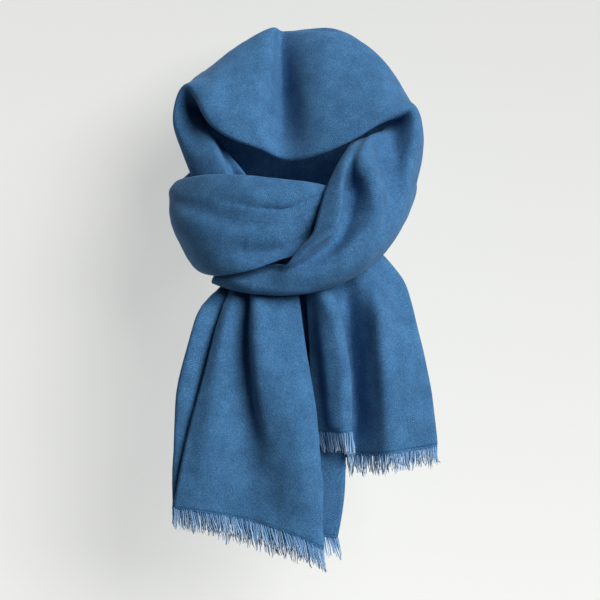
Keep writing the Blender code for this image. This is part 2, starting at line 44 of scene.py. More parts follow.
# The rise on the left, the swag behind the neck, the sweep down the right and the band under the crossing.
# Columns: inner edge, inner fold, inner dip, inner ridge; hollow, lower fold, face, crown; crown dip,
# rear crest, back, back edge.
swagTable = (
    # rise on the left, from its tucked foot behind the cowl
    ((-38, -40, -62), (-40, -58, -50), (-60, -44, -50), (-66, -56, -50),
     (-88, -46, -50), (-104, -36, -50), (-107, -24, -54), (-101, -12, -58),
     (-96, -6, -60), (-90, -2, -61), (-84, 1, -62), (-76, 4, -62)),
    ((-52, -15, -26), (-56, -44, 6), (-75, -31, 8), (-79, -44, 9),
     (-102, -36, 8), (-119, -22, 8), (-121, -6, 0), (-118, 8, -6),
     (-114, 14, -10), (-109, 19, -15), (-100, 23, -21), (-87, 24, -30)),
    ((-70, 20, -12), (-81, -6, 37), (-92, -4, 44), (-98, -28, 50),
     (-122, -16, 54), (-142, -8, 60), (-141, 8, 50), (-135, 20, 42),
     (-131, 26, 37), (-127, 31, 31), (-118, 37, 18), (-100, 40, -5)),
    ((-75, 34, -8), (-88, 10, 48), (-99, 10, 58), (-110, 2, 76),
     (-128, 8, 84), (-146, -3, 92), (-147, 14, 86), (-142, 28, 80),
     (-139, 34, 76), (-134, 40, 68), (-122, 46, 46), (-104, 46, 12)),
    # the swag
    ((-75, 46, -14), (-83, 40, 34), (-95, 36, 54), (-105, 24, 80),
     (-120, 12, 98), (-130, -10, 119), (-125, 6, 125), (-128, 27, 125),
     (-126, 38, 123), (-123, 50, 115), (-112, 63, 84), (-96, 63, 28)),
    ((-71, 55, -26), (-77, 51, 16), (-88, 45, 48), (-97, 31, 78),
     (-108, 6, 92), (-117, -28, 97), (-103, -17, 119), (-109, 28, 140),
     (-107, 42, 140), (-104, 57, 132), (-99, 75, 95), (-88, 73, 30)),
    ((-64, 62, -38), (-70, 61, -2), (-78, 55, 34), (-87, 38, 66),
     (-97, -2, 80), (-103, -38, 71), (-92, -23, 113), (-91, 30, 155),
     (-89, 45, 156), (-88, 61, 150), (-85, 84, 106), (-80, 82, 31)),
    ((-40, 68, -50), (-44, 67, -18), (-49, 63, 16), (-56, 49, 53),
     (-66, -10, 74), (-67, -45, 46), (-64, -18, 111), (-58, 38, 178),
     (-57, 52, 177), (-58, 66, 171), (-59, 92, 118), (-58, 90, 32)),
    ((-26, 70, -56), (-28, 69, -22), (-30, 66, 10), (-33, 54, 48),
     (-36, -6, 64), (-37, -43, 35), (-35, -7, 108), (-28, 46, 193),
     (-28, 60, 190), (-27, 76, 186), (-26, 98, 122), (-25, 94, 34)),
    ((-4, 71, -57), (-5, 70, -24), (-6, 67, 9), (-8, 57, 44),
     (-12, -4, 54), (-16, -41, 26), (-18, 25, 104), (-20, 60, 190),
     (-17, 67, 188), (-10, 77, 192), (-2, 100, 122), (0, 96, 34)),
    ((20, 70, -55), (20, 68, -23), (21, 65, 9), (22, 54, 46),
     (18, -8, 60), (14, -50, 27), (10, -8, 104), (8, 46, 190),
     (12, 62, 185), (20, 77, 197), (24, 98, 121), (26, 94, 33)),
    ((46, 65, -49), (50, 63, -20), (54, 59, 12), (60, 44, 50),
     (66, -22, 72), (62, -60, 45), (60, -27, 106), (62, 36, 185),
     (61, 52, 180), (60, 68, 192), (64, 92, 114), (62, 88, 30)),
    ((66, 48, -34), (71, 43, -6), (77, 34, 20), (85, 14, 54),
     (94, -6, 74), (98, -54, 70), (105, -28, 106), (104, 30, 155),
     (103, 43, 152), (101, 58, 155), (99, 78, 100), (90, 75, 26)),
    # the sweep down the right, whose last columns are its inner lip, and the band that passes under the cowl
    ((80, 12, 24), (84, 6, 38), (89, 4, 46), (88, 4, 52),
     (107, -2, 75), (122, -44, 83), (117, -18, 104), (128, 22, 119),
     (127, 34, 118), (125, 46, 115), (119, 60, 77), (106, 60, 20)),
    ((71, -30, 52), (76, -40, 53), (82, -38, 54), (94, -33, 60),
     (117, -4, 69), (139, -32, 88), (143, -5, 95), (147, 20, 84),
     (145, 30, 81), (142, 38, 77), (135, 45, 60), (124, 44, 26)),
    ((57, -64, 36), (63, -76, 36), (69, -78, 35), (80, -80, 40),
     (115, -26, 44), (143, -38, 64), (152, -6, 62), (150, 16, 60),
     (149, 24, 57), (146, 30, 53), (141, 35, 42), (132, 35, 22)),
    ((41, -90, 4), (54, -105, 2), (61, -89, -1), (88, -101, 8),
     (117, -54, 12), (135, -54, 20), (149, -16, 26), (148, 4, 24),
     (147, 10, 22), (144, 15, 18), (140, 19, 10), (132, 19, -2)),
    ((29, -106, -30), (54, -119, -30), (54, -98, -38), (98, -102, -22),
     (117, -74, -18), (129, -62, -14), (138, -34, -15), (137, -18, -20),
     (135, -12, -23), (133, -8, -26), (129, -5, -30), (122, -6, -37)),
    ((17, -119, -64), (40, -130, -62), (38, -108, -72), (68, -116, -75),
     (89, -106, -78), (102, -91, -78), (103, -74, -84), (99, -64, -88),
     (97, -61, -89), (95, -59, -89), (91, -57, -88), (86, -57, -86)),
    ((-1, -119, -86), (10, -127, -83), (8, -111, -95), (17, -118, -105),
     (23, -118, -113), (26, -110, -123), (26, -100, -127), (25, -94, -126),
     (24, -92, -123), (23, -91, -119), (22, -90, -114), (20, -90, -109)),
    ((-13, -115, -98), (-13, -116, -100), (-13, -114, -103), (-12, -116, -108),
     (-12, -116, -117), (-12, -110, -128), (-12, -101, -131), (-12, -94, -130),
     (-12, -92, -127), (-12, -91, -123), (-12, -90, -118), (-12, -90, -112)),
    ((-28, -98, -96), (-28, -99, -98), (-28, -99, -101), (-28, -105, -108),
     (-29, -109, -118), (-30, -106, -128), (-30, -98, -131), (-30, -92, -130),
     (-30, -90, -127), (-30, -89, -123), (-30, -88, -118), (-29, -88, -111)),
    ((-50, -92, -100), (-50, -93, -102), (-50, -93, -105), (-50, -98, -111),
     (-52, -103, -118), (-53, -101, -126), (-53, -94, -130), (-52, -89, -128),
     (-51, -87, -126), (-50, -86, -122), (-50, -84, -118), (-49, -84, -112)),
    ((-89, -53, -94), (-89, -54, -96), (-90, -55, -98), (-92, -57, -104),
     (-97, -60, -111), (-99, -58, -116), (-98, -50, -118), (-96, -44, -116),
     (-95, -42, -113), (-93, -41, -110), (-91, -40, -105), (-90, -40, -100)),
)

# The front crossing, its turn round the left side, and the wrap behind, which ends under the sweep.
# Columns: top lip, top edge, roll, crease; ridge, belly, bottom edge, bottom lip.
cowlTable = (
    ((66, -68, -16), (66, -77, -14), (64, -79, -20), (61, -78, -29),
     (57, -83, -40), (44, -91, -60), (26, -96, -80), (24, -86, -82)),
    ((36, -78, -10), (38, -86, -5), (37, -95, -14), (34, -90, -24),
     (31, -96, -38), (18, -105, -64), (2, -109, -88), (0, -96, -90)),
    ((-6, -78, -6), (-4, -88, 2), (-4, -107, -29), (-6, -101, -43),
     (-7, -109, -56), (-12, -114, -76), (-22, -110, -96), (-22, -104, -93)),
    ((-48, -76, 0), (-48, -83, 7), (-48, -106, -30), (-49, -100, -46),
     (-51, -108, -60), (-54, -113, -82), (-56, -106, -104), (-54, -99, -100)),
    ((-95, -56, 3), (-98, -61, 10), (-101, -80, -20), (-104, -80, -36),
     (-108, -88, -50), (-104, -93, -76), (-92, -84, -109), (-89, -78, -104)),
    ((-131, -13, 0), (-138, -14, 6), (-147, -21, -6), (-147, -25, -18),
     (-149, -31, -34), (-140, -35, -66), (-114, -28, -104), (-106, -22, -98)),
    ((-128, 37, 4), (-133, 40, 12), (-145, 45, -4), (-146, 47, -18),
     (-144, 49, -34), (-134, 49, -58), (-115, 41, -87), (-106, 37, -81)),
    ((-97, 89, 42), (-101, 94, 50), (-108, 104, 30), (-109, 105, 12),
     (-108, 102, -4), (-105, 106, -30), (-92, 93, -62), (-86, 85, -58)),
    ((-44, 97.8, 82), (-46, 106, 88), (-48, 120, 68), (-48, 120, 48),
     (-48, 114, 30), (-48, 120, 2), (-44, 106, -36), (-42, 96, -32)),
    ((8, 102.7, 94), (8, 111, 99), (8, 125, 78), (8, 125, 58),
     (8, 118, 40), (8, 124, 10), (8, 110, -32), (8, 100, -28)),
    ((57, 103, 82), (59, 108, 88), (61, 121, 70), (61, 121, 50),
     (61, 115, 32), (61, 119, 4), (57, 106, -36), (55, 96, -32)),
    ((107, 89, 52), (111, 93, 58), (116, 97, 42), (118, 97, 26),
     (116, 93, 8), (111, 92, -18), (95, 82, -54), (89, 75, -48)),
    ((135, 58, 24), (140, 60, 30), (145, 62, 16), (146, 61, 2),
     (141, 60, -12), (131, 56, -37), (107, 48, -66), (99, 42, -60)),
    ((135, 32, 0), (140, 32, 4), (143, 34, -6), (143, 34, -16),
     (138, 33, -28), (129, 32, -46), (108, 27, -68), (100, 23, -62)),
    ((110, 6, -48), (116, 8, -50), (120, 12, -56), (119, 13, -61),
     (117, 14, -66), (112, 14, -74), (101, 12, -86), (95, 9, -82)),
)

# The left end, folded in three: front panel, middle layer and back panel.
# Columns: selvedge, left panel, pleat valley, pleat ridge, right panel; right fold's front and back,
# middle right, middle left, left fold's front; left fold's back, back left, back right, back selvedge.
leftEndTable = (
    ((-58, -61, -72), (-50, -64, -72), (-43, -66, -72), (-37, -69, -72), (-18, -73, -72),
     (-2, -73, -72), (-1, -69, -72), (-18, -68, -72), (-46, -61, -72), (-62, -53, -72),
     (-60, -49, -72), (-42, -59, -72), (-10, -64, -72), (8, -64, -72)),
    ((-70, -58, -112), (-60, -63, -112), (-52, -64, -112), (-45, -72, -112), (-22, -76, -112),
     (-1, -74, -112), (0, -69, -112), (-20, -66, -112), (-62, -53, -112), (-81, -46, -114),
     (-79, -41, -114), (-58, -50, -112), (-8, -61, -112), (20, -61, -112)),
    ((-84, -75, -142), (-74, -84, -142), (-54, -67, -142), (-50, -96, -142), (-26, -93, -142),
     (3, -84, -142), (3, -76, -142), (-22, -67, -142), (-76, -65, -142), (-107, -70, -142),
     (-107, -58, -142), (-70, -54, -142), (0, -59, -142), (34, -60, -142)),
    ((-97, -90, -184), (-85, -99, -184), (-56, -76, -184), (-51, -112, -184), (-24, -105, -184),
     (9, -92, -184), (9, -83, -184), (-24, -72, -184), (-86, -75, -184), (-123, -88, -184),
     (-123, -74, -184), (-80, -60, -184), (4, -62, -184), (44, -62, -184)),
    ((-112, -92, -240), (-92, -101, -240), (-53, -80, -240), (-45, -111, -240), (-18, -106, -240),
     (18, -93, -240), (18, -84, -240), (-24, -76, -240), (-93, -78, -240), (-137, -89, -240),
     (-137, -76, -240), (-86, -62, -240), (8, -63, -240), (52, -63, -240)),
    ((-127, -92, -298), (-101, -101, -298), (-49, -87, -298), (-34, -105, -298), (-8, -104, -298),
     (22, -95, -298), (22, -86, -298), (-24, -78, -298), (-98, -79, -298), (-141, -88, -298),
     (-141, -77, -298), (-90, -64, -298), (10, -65, -298), (57, -65, -298)),
    ((-137, -90, -346), (-108, -96, -352), (-56, -90, -358), (-26, -97, -363), (0, -99, -368),
     (27, -94, -371), (27, -86, -371), (-24, -80, -364), (-104, -79, -350), (-143, -83, -345),
     (-143, -75, -345), (-92, -66, -350), (10, -67, -364), (57, -67, -368)),
    ((-144, -86, -381), (-114, -92, -385), (-60, -90, -394), (-28, -94, -403), (2, -97, -414),
     (31, -94, -429), (31, -87, -429), (-22, -81, -416), (-108, -79, -390), (-143, -81, -380),
     (-143, -73, -380), (-94, -67, -390), (6, -68, -412), (49, -68, -418)),
)

# The right end: a narrow roll in front, a deep tuck beside it, the panel on the right and its return.
# Columns: roll's selvedge, left, front and right, tuck; recess, panel's left, ridge and valley, right
# fold's front; right fold's back, back panel, back selvedge.
rightEndTable = (
    ((14, -71, -84), (18, -73, -84), (26, -74, -84), (34, -71, -84), (36, -66, -84),
     (48, -60, -84), (60, -54, -84), (70, -44, -82), (82, -35, -78), (93, -26, -74),
     (90, -17, -74), (76, -26, -80), (58, -44, -84)),
    ((12, -72, -112), (16, -77, -112), (26, -81, -112), (36, -77, -112), (38, -68, -112),
     (55, -58, -112), (72, -62, -112), (90, -60, -112), (105, -48, -112), (125, -38, -112),
     (123, -28, -112), (98, -35, -112), (63, -48, -112)),
    ((13, -72, -150), (22, -80, -150), (38, -95, -150), (50, -88, -150), (48, -74, -150),
     (60, -60, -150), (82, -80, -150), (98, -92, -150), (120, -64, -150), (137, -57, -150),
     (136, -47, -150), (106, -45, -150), (57, -53, -150)),
    ((15, -71, -194), (28, -81, -194), (48, -100, -194), (60, -92, -194), (56, -76, -194),
     (64, -60, -194), (84, -84, -194), (101, -99, -194), (125, -79, -194), (147, -68, -194),
     (147, -58, -194), (112, -48, -194), (51, -56, -194)),
    ((18, -72, -242), (34, -82, -242), (53, -101, -242), (65, -93, -242), (60, -77, -242),
     (68, -62, -242), (88, -86, -242), (105, -101, -242), (129, -84, -242), (157, -71, -242),
     (157, -61, -242), (118, -50, -242), (48, -61, -242)),
    ((23, -73, -284), (38, -83, -286), (54, -98, -286), (66, -92, -285), (60, -79, -290),
     (68, -65, -296), (88, -83, -298), (108, -98, -298), (135, -84, -294), (162, -72, -290),
     (162, -62, -290), (122, -52, -296), (50, -63, -300)),
    ((24, -73, -291), (39, -83.5, -293), (55, -97.5, -293), (66.2, -91.5, -292), (60, -79, -299),
     (67, -67, -318), (88, -81, -320), (110, -94, -318), (136, -83, -314), (164, -73, -310),
     (164, -63, -310), (122, -54, -318), (50, -63.6, -324)),
)


def toLinear(hexColour):
    channels = [int(hexColour[i : i + 2], 16) / 255 for i in (1, 3, 5)]
    return tuple(c / 12.92 if c <= 0.04045 else ((c + 0.055) / 1.055) ** 2.4 for c in channels) + (1.0,)


def fillInputs(tree, node, inputs):
    # an input takes a value, another node's socket, or a node, which stands for its first output
    for socket, value in inputs.items():
        if isinstance(value, bpy.types.Node):
            value = value.outputs[0]
        if isinstance(value, bpy.types.NodeSocket):
            tree.links.new(value, node.inputs[socket])
        else:
            node.inputs[socket].default_value = value


def addNode(tree, kind, inputs=None, **settings):
    node = tree.nodes.new(kind)
    for name, value in settings.items():
        setattr(node, name, value)
    fillInputs(tree, node, inputs or {})
    return node


def newMaterial(name):
    material = bpy.data.materials.new(name)
    material.use_nodes = True
    return material, material.node_tree, material.node_tree.nodes["Principled BSDF"]


def addRamp(tree, tone, stops, colours):
    # three colours over the scale of tone, the darkest first
    ramp = addNode(tree, "ShaderNodeValToRGB", {"Fac": tone})
    elements = ramp.color_ramp.elements
    for element, stop, colour in zip(elements, stops[::2], colours[::2]):
        element.position = stop
        element.color = toLinear(colour)
    elements.new(stops[1]).color = toLinear(colours[1])
    return ramp


def intoScene(name, data):
    obj = bpy.data.objects.new(name, data)
    bpy.context.scene.collection.objects.link(obj)
    return obj


# the cloth's surface: a smooth skin through the table's sections


def splineThrough(points, times, at):
    # natural cubic spline along the cloth, from section to section
    count = len(points)
    flat = points.reshape(count, -1)
    steps = np.diff(times)
    slopes = np.diff(flat, axis=0) / steps[:, None]
    system, right = np.eye(count), np.zeros_like(flat)
    for i in range(1, count - 1):
        system[i, i - 1 : i + 2] = steps[i - 1], 2 * (steps[i - 1] + steps[i]), steps[i]
        right[i] = 6 * (slopes[i] - slopes[i - 1])
    bends = np.linalg.solve(system, right)
    i = np.clip(np.searchsorted(times, at, side="right") - 1, 0, count - 2)
    h, a, b = steps[i][:, None], (times[i + 1] - at)[:, None], (at - times[i])[:, None]
    value = (bends[i] * a**3 + bends[i + 1] * b**3) / (6 * h)
    value += (flat[i] / h - bends[i] * h / 6) * a + (flat[i + 1] / h - bends[i + 1] * h / 6) * b
    return value.reshape((len(at),) + points.shape[1:])


def acrossSections(sections, at):
    # each section as a centripetal curve through its own fold lines
    before = 2 * sections[:, :1] - sections[:, 1:2]
    after = 2 * sections[:, -1:] - sections[:, -2:-1]
    padded = np.concatenate([before, sections, after], axis=1)
    i = np.clip(np.floor(at).astype(int), 0, sections.shape[1] - 2)
    p0, p1, p2, p3 = (padded[:, i + k] for k in range(4))

    def gap(a, b):
        return np.maximum(np.linalg.norm(b - a, axis=-1, keepdims=True), 1e-6) ** 0.5

    t1 = gap(p0, p1)
    t2 = t1 + gap(p1, p2)
    t3 = t2 + gap(p2, p3)
    t = t1 + (t2 - t1) * (at - i)[None, :, None]
    a1 = ((t1 - t) * p0 + t * p1) / t1
    a2 = ((t2 - t) * p1 + (t - t1) * p2) / (t2 - t1)
    a3 = ((t3 - t) * p2 + (t - t2) * p3) / (t3 - t2)
    b1 = ((t2 - t) * a1 + t * a2) / t2
    b2 = ((t3 - t) * a2 + (t - t1) * a3) / (t3 - t1)
    return ((t2 - t) * b1 + (t - t1) * b2) / (t2 - t1)


def readSurface(table, rows, columns):
    table = np.array(table, float)
    between = np.linalg.norm(np.diff(table, axis=0), axis=2).mean(axis=1)
    times = np.concatenate([[0.0], np.cumsum(between)])
    rowTimes = np.interp(rows, np.arange(len(times)), times)
    return acrossSections(splineThrough(table, times, rowTimes), np.asarray(columns, float))


def gridNormals(grid):
    normal = np.cross(np.gradient(grid, axis=1), np.gradient(grid, axis=0))
    return normal / np.maximum(np.linalg.norm(normal, axis=2, keepdims=True), 1e-9)


def relax(grid, rounds):
    # evens out the small kinks between sections, with the hem and the long edges held
    for _ in range(rounds):
        moved = grid.copy()
        moved[1:-1] += 0.25 * (grid[2:] + grid[:-2] - 2 * grid[1:-1])
        grid = moved.copy()
        moved[:, 1:-1] += 0.25 * (grid[:, 2:] + grid[:, :-2] - 2 * grid[:, 1:-1])
        grid = moved
    return grid


# slow unevenness is a sum of sine waves: calm keeps it near -1 to 1
unevenness = {"waves": 14, "pitch": 0.6, "calm": 1.4}


def smoothNoise(u, v, scaleU, scaleV, seed):
    # a soft field of bumps of this size in millimetres, across and along the cloth
    chance = np.random.default_rng(seed)
    total = np.zeros_like(u)
    for _ in range(unevenness["waves"]):
        a, b = chance.normal(size=2)
        phase = chance.uniform(0, 2 * math.pi)
        total += np.sin(2 * math.pi * (a * u / scaleU + b * v / scaleV) * unevenness["pitch"] + phase)
    return total / unevenness["waves"] ** 0.5 / unevenness["calm"]


def runningLength(grid, axis):
    steps = np.linalg.norm(np.diff(grid, axis=axis), axis=2)
    start = np.zeros_like(steps.take([0], axis=axis))
    return np.concatenate([start, np.cumsum(steps, axis=axis)], axis=axis)


def clothLengths(grid):
    # distances in millimetres over the cloth: across it from its middle, and along it from its first section,
    # where each column's own length is evened half way to their mean
    u, v = runningLength(grid, 1), runningLength(grid, 0)
    middle = grid.shape[1] // 2
    return u - u[:, middle : middle + 1], 0.5 * v + 0.5 * v.mean(axis=1, keepdims=True)


pressing = {
    "pathPoints": 60,
    "fadeShare": 0.35,  # of its length, over which a fold dies out at each end
    "reach": 30,  # grid steps round the path that a fold may move
}


def pressFolds(grid, rows, columns, folds):
    # a fold has (row, column) points along it, a half width and a height in millimetres. A height over 0
    # presses the visible face in, and one under 0 lifts it out.
    def near(index):
        return slice(max(int(index.min()) - pressing["reach"], 0), int(index.max()) + pressing["reach"] + 1)

    for fold in folds:
        path = np.array(fold["path"], float)
        fine = np.linspace(0, len(path) - 1, pressing["pathPoints"])
        pathRows = np.interp(fine, np.arange(len(path)), path[:, 0])
        pathColumns = np.interp(fine, np.arange(len(path)), path[:, 1])
        i = np.interp(pathRows, rows, np.arange(len(rows)))
        j = np.interp(pathColumns, columns, np.arange(len(columns)))
        spots = grid[np.round(i).astype(int), np.round(j).astype(int)]
        normal = gridNormals(grid)
        window = (near(i), near(j))
        part = grid[window]
        apart = np.linalg.norm(part[:, :, None, :] - spots[None, None], axis=3)
        along = apart.argmin(axis=2) / (len(fine) - 1)
        fade = np.clip(np.minimum(along, 1 - along) / pressing["fadeShare"], 0, 1)
        crest = np.exp(-((apart.min(axis=2) / fold["width"]) ** 2))
        lift = fold["height"] * crest * fade**2 * (3 - 2 * fade)
        grid[window] = part + normal[window] * lift[:, :, None]
    return grid


clothWall = {
    "thickMm": 1.6,
    "easeRows": 6,  # at both ends the unevenness dies out over this many rows
    "evenRounds": 3,
    "noHemMm": 500.0,  # given as the distance to the hem where a piece has none
}


def layCloth(cloth, table):
    # the middle of the wall: the table's sections, then the unevenness, then the pressed folds
    last, lastColumn = len(table) - 1, len(table[0]) - 1
    rows = np.linspace(0, last, last * cloth["rowsPerStep"] + 1)
    columns = np.linspace(0, lastColumn, lastColumn * cloth["columnsPerStep"] + 1)
    grid = relax(readSurface(table, rows, columns), cloth["relaxRounds"])
    u, v = clothLengths(grid)
    fromEnd = np.minimum(np.arange(len(rows)), np.arange(len(rows))[::-1])
    ease = np.clip(fromEnd / clothWall["easeRows"], 0, 1)[:, None]
    for wave in cloth["waves"]:
        field = smoothNoise(u, v, wave["acrossMm"], wave["alongMm"], wave["seed"]) * wave["heightMm"] * ease
        grid = grid + gridNormals(grid) * field[:, :, None]
    return pressFolds(grid, rows, columns, cloth["folds"]), u, v


def evenNormals(grid):
    # evened out, so that a fold tighter than the cloth is thick doesn't turn its wall inside out
    normal = gridNormals(grid)
    for _ in range(clothWall["evenRounds"]):
        normal[1:-1] = normal[1:-1] + 0.5 * (normal[2:] + normal[:-2])
        normal[:, 1:-1] = normal[:, 1:-1] + 0.5 * (normal[:, 2:] + normal[:, :-2])
        normal /= np.linalg.norm(normal, axis=2, keepdims=True)
    return normal


def wallFaces(count, width):
    # the wall's two sides, then its two long edges, then its two ends
    under = count * width
    i, j = np.meshgrid(np.arange(count - 1), np.arange(width - 1), indexing="ij")
    front = (i * width + j).ravel()
    back = front + under
    first = np.arange(count - 1) * width
    last = first + width - 1
    start = np.arange(width - 1)
    end = start + (count - 1) * width
    quads = (
        (front, front + 1, front + width + 1, front + width),
        (back, back + width, back + width + 1, back + 1),
        (first, first + width, first + width + under, first + under),
        (last + width, last, last + under, last + width + under),
        (start + 1, start, start + under, start + 1 + under),
        (end, end + 1, end + 1 + under, end + under),
    )
    return np.concatenate([np.stack(quad, axis=1) for quad in quads])


def inFrame(points):
    # from the tables' millimetres to the frame's metres
    return ((points - (0, napeY, 0)) * mm).tolist()


def makeShell(cloth, table):
    grid, u, v = layCloth(cloth, table)
    half = evenNormals(grid) * clothWall["thickMm"] / 2
    points = np.concatenate([(grid + half).reshape(-1, 3), (grid - half).reshape(-1, 3)])
    mesh = bpy.data.meshes.new(cloth["name"])
    mesh.from_pydata(inFrame(points), [], wallFaces(*grid.shape[:2]).tolist())
    uv = np.stack([u.ravel(), v.ravel()], axis=1) * mm
    uv = np.concatenate([uv, uv])
    corners = np.empty(len(mesh.loops), np.int32)
    mesh.loops.foreach_get("vertex_index", corners)
    layer = mesh.uv_layers.new(name="clothUv")
    layer.data.foreach_set("uv", uv[corners].astype(np.float32).ravel())
    toHem = (v[-1:] - v).ravel() if cloth["hemAtEnd"] else np.full(v.size, clothWall["noHemMm"])
    hem = mesh.attributes.new("hemDistance", "FLOAT", "POINT")
    hem.data.foreach_set("value", np.concatenate([toHem, toHem]).astype(np.float32))
    mesh.shade_smooth()
    mesh.update()
    return intoScene(cloth["name"], mesh), grid, u, v


# finishes

nappedTwillLook = {
    "deep": "#2D5379",  # the dyed yarn between the twill lines
    "body": "#3E6D98",
    "lift": "#5389B8",  # nap that stands up to the light
    "toneStops": (0.20, 0.50, 0.82),  # where deep, body and lift stand on the scale of tone
    "twillMm": 2.3,  # real lines are about 0.9 mm apart, too fine for the render, so these are drawn coarser
    "twillDegrees": 62,
    "waverMm": 6.0,  # the lines waver over this distance,
    "waverByMm": 0.9,  # by up to this much
    "napMm": 1.6,
    "napRange": (0.3, 0.7),
    "blotchMm": 22.0,
    "hidingRange": (0.35, 0.65),
    "leastLines": 0.3,  # how much of the lines shows where the nap hides them most
    "napTone": 0.44,  # what nap, lines and blotches each add to the tone
    "lineTone": 0.20,
    "blotchTone": 0.34,
    "stitchMm": 3.2,  # how far above the hem the holding stitches run
    "stitchHalfMm": (0.5, 1.3),  # half their row's width, full and faded out
    "stitchTone": -0.22,
    "twillBumpMm": 0.08,
    "napBumpMm": 0.20,
    "roughness": 0.92,
    "ior": 1.45,
    "specular": 0.2,
    "sheen": 0.22,
    "sheenRoughness": 0.45,
    "sheenTint": "#9FBFE4",
}


def nappedTwill(look):
    # brushed woven wool-like twill: matt, soft, with a faint diagonal and a nap that catches grazing light
    material, tree, shader = newMaterial("nappedTwill")
    uv = addNode(tree, "ShaderNodeUVMap", uv_map="clothUv").outputs["UV"]
    place = addNode(tree, "ShaderNodeTexCoord").outputs["Object"]

    # twill lines, turned over the cloth and wavering a little
    turn = (0, 0, math.radians(look["twillDegrees"]))
    turned = addNode(tree, "ShaderNodeMapping", {"Vector": uv, "Rotation": turn})
    soft = {"Vector": place, "Scale": 1 / (look["waverMm"] * mm), "Detail": 2.0}
    waver = addNode(tree, "ShaderNodeTexNoise", soft)
    waverBy = (look["waverByMm"] * mm, look["waverByMm"] * mm, 0)
    bend = {0: waver.outputs["Color"], 1: waverBy, 2: turned}
    moved = addNode(tree, "ShaderNodeVectorMath", bend, operation="MULTIPLY_ADD")
    bandAtOne = 2 * math.pi / 20  # the wave texture's own spacing at scale 1
    bands = {"Vector": moved, "Scale": bandAtOne / (look["twillMm"] * mm)}
    lines = addNode(tree, "ShaderNodeTexWave", bands, wave_type="BANDS", bands_direction="X")

    # nap, and blotches where it hides the lines
    fine = {"Vector": place, "Scale": 1 / (look["napMm"] * mm), "Detail": 2.0, "Roughness": 0.7}
    noise = addNode(tree, "ShaderNodeTexNoise", fine)
    low, high = look["napRange"]
    nap = addNode(tree, "ShaderNodeMapRange", {"Value": noise, "From Min": low, "From Max": high})
    broad = {"Vector": place, "Scale": 1 / (look["blotchMm"] * mm), "Detail": 4.0, "Roughness": 0.6}
    blotch = addNode(tree, "ShaderNodeTexNoise", broad)
    low, high = look["hidingRange"]
    hiding = {"Value": blotch, "From Min": low, "From Max": high, "To Min": look["leastLines"]}
    shown = addNode(tree, "ShaderNodeMapRange", hiding)
    lineHeight = addNode(tree, "ShaderNodeMath", {0: lines.outputs["Fac"], 1: shown}, operation="MULTIPLY")

    # the row of stitches that stops the hem from fraying further
    hem = addNode(tree, "ShaderNodeAttribute", attribute_name="hemDistance")
    toRow = {0: hem.outputs["Fac"], 1: look["stitchMm"]}
    offRow = addNode(tree, "ShaderNodeMath", toRow, operation="SUBTRACT")
    nearRow = addNode(tree, "ShaderNodeMath", {0: offRow}, operation="ABSOLUTE")
    full, faded = look["stitchHalfMm"]
    fading = {"Value": nearRow, "From Min": full, "From Max": faded, "To Min": 1.0, "To Max": 0.0}
    groove = addNode(tree, "ShaderNodeMapRange", fading)

    # their tones, added one after another
    tone = addNode(tree, "ShaderNodeMath", {0: nap, 1: look["napTone"]}, operation="MULTIPLY")
    for share, amount in (
        (lineHeight, look["lineTone"]),
        (blotch, look["blotchTone"]),
        (groove, look["stitchTone"]),
    ):
        tone = addNode(tree, "ShaderNodeMath", {0: share, 1: amount, 2: tone}, operation="MULTIPLY_ADD")
    colour = addRamp(tree, tone, look["toneStops"], (look["deep"], look["body"], look["lift"]))

    lineBump = addNode(tree, "ShaderNodeBump", {"Height": lineHeight, "Distance": look["twillBumpMm"] * mm})
    overLines = {"Height": nap, "Distance": look["napBumpMm"] * mm, "Normal": lineBump}
    napBump = addNode(tree, "ShaderNodeBump", overLines)
    given = {
        "Base Color": colour,
        "Normal": napBump,
        "Roughness": look["roughness"],
        "IOR": look["ior"],
        "Specular IOR Level": look["specular"],
        "Sheen Weight": look["sheen"],
        "Sheen Roughness": look["sheenRoughness"],
        "Sheen Tint": toLinear(look["sheenTint"]),
    }
    fillInputs(tree, shader, given)
    return material


yarnLook = {
    # shade, body and tip run from darkest to palest; the pale tip colour is painted light
    "shade": "#4A7CAB",
    "body": "#78A4CE",
    "tip": "#C6D9EA",
    "toneStops": (0.0, 0.5, 1.0),
    "roughness": 0.85,
    "specular": 0.25,
    "sheen": 0.3,
}


def frayedYarn(look):
    # loose single yarns pulled from the weave, with painted light: drawn lighter than the cloth for the light
    # that gets between them, and paler towards the tip
    material, tree, shader = newMaterial("frayedYarn")
    tone = addNode(tree, "ShaderNodeAttribute", attribute_name="yarnToneAndPaintedLight").outputs["Fac"]
    given = {
        "Base Color": addRamp(tree, tone, look["toneStops"], (look["shade"], look["body"], look["tip"])),
        "Roughness": look["roughness"],
        "Specular IOR Level": look["specular"],
        "Sheen Weight": look["sheen"],
        "Sheen Tint": toLinear(look["tip"]),
    }
    fillInputs(tree, shader, given)
    return material


clothFinish = nappedTwill(nappedTwillLook)
yarnFinish = frayedYarn(yarnLook)
print("finishes made")


# frayed ends, by Geometry Nodes: yarns hung from the hem line, drawn into tufts

yarnBuild = {
    "scatterMm": ((-0.6, -0.6, -0.4), (0.6, 0.6, 0.6)),  # a yarn stands this little off the hem line
    "scatterSeed": 11,
    "toneSeed": 23,
    "points": 9,
    "sides": 4,
    "bendPower": 1.4,  # above 1, a yarn bends more towards its tip
    "leanScale": 120.0,
    "tuftScale": 420.0,
    "curlScale": 110.0,
    "tipThickness": 0.6,
}


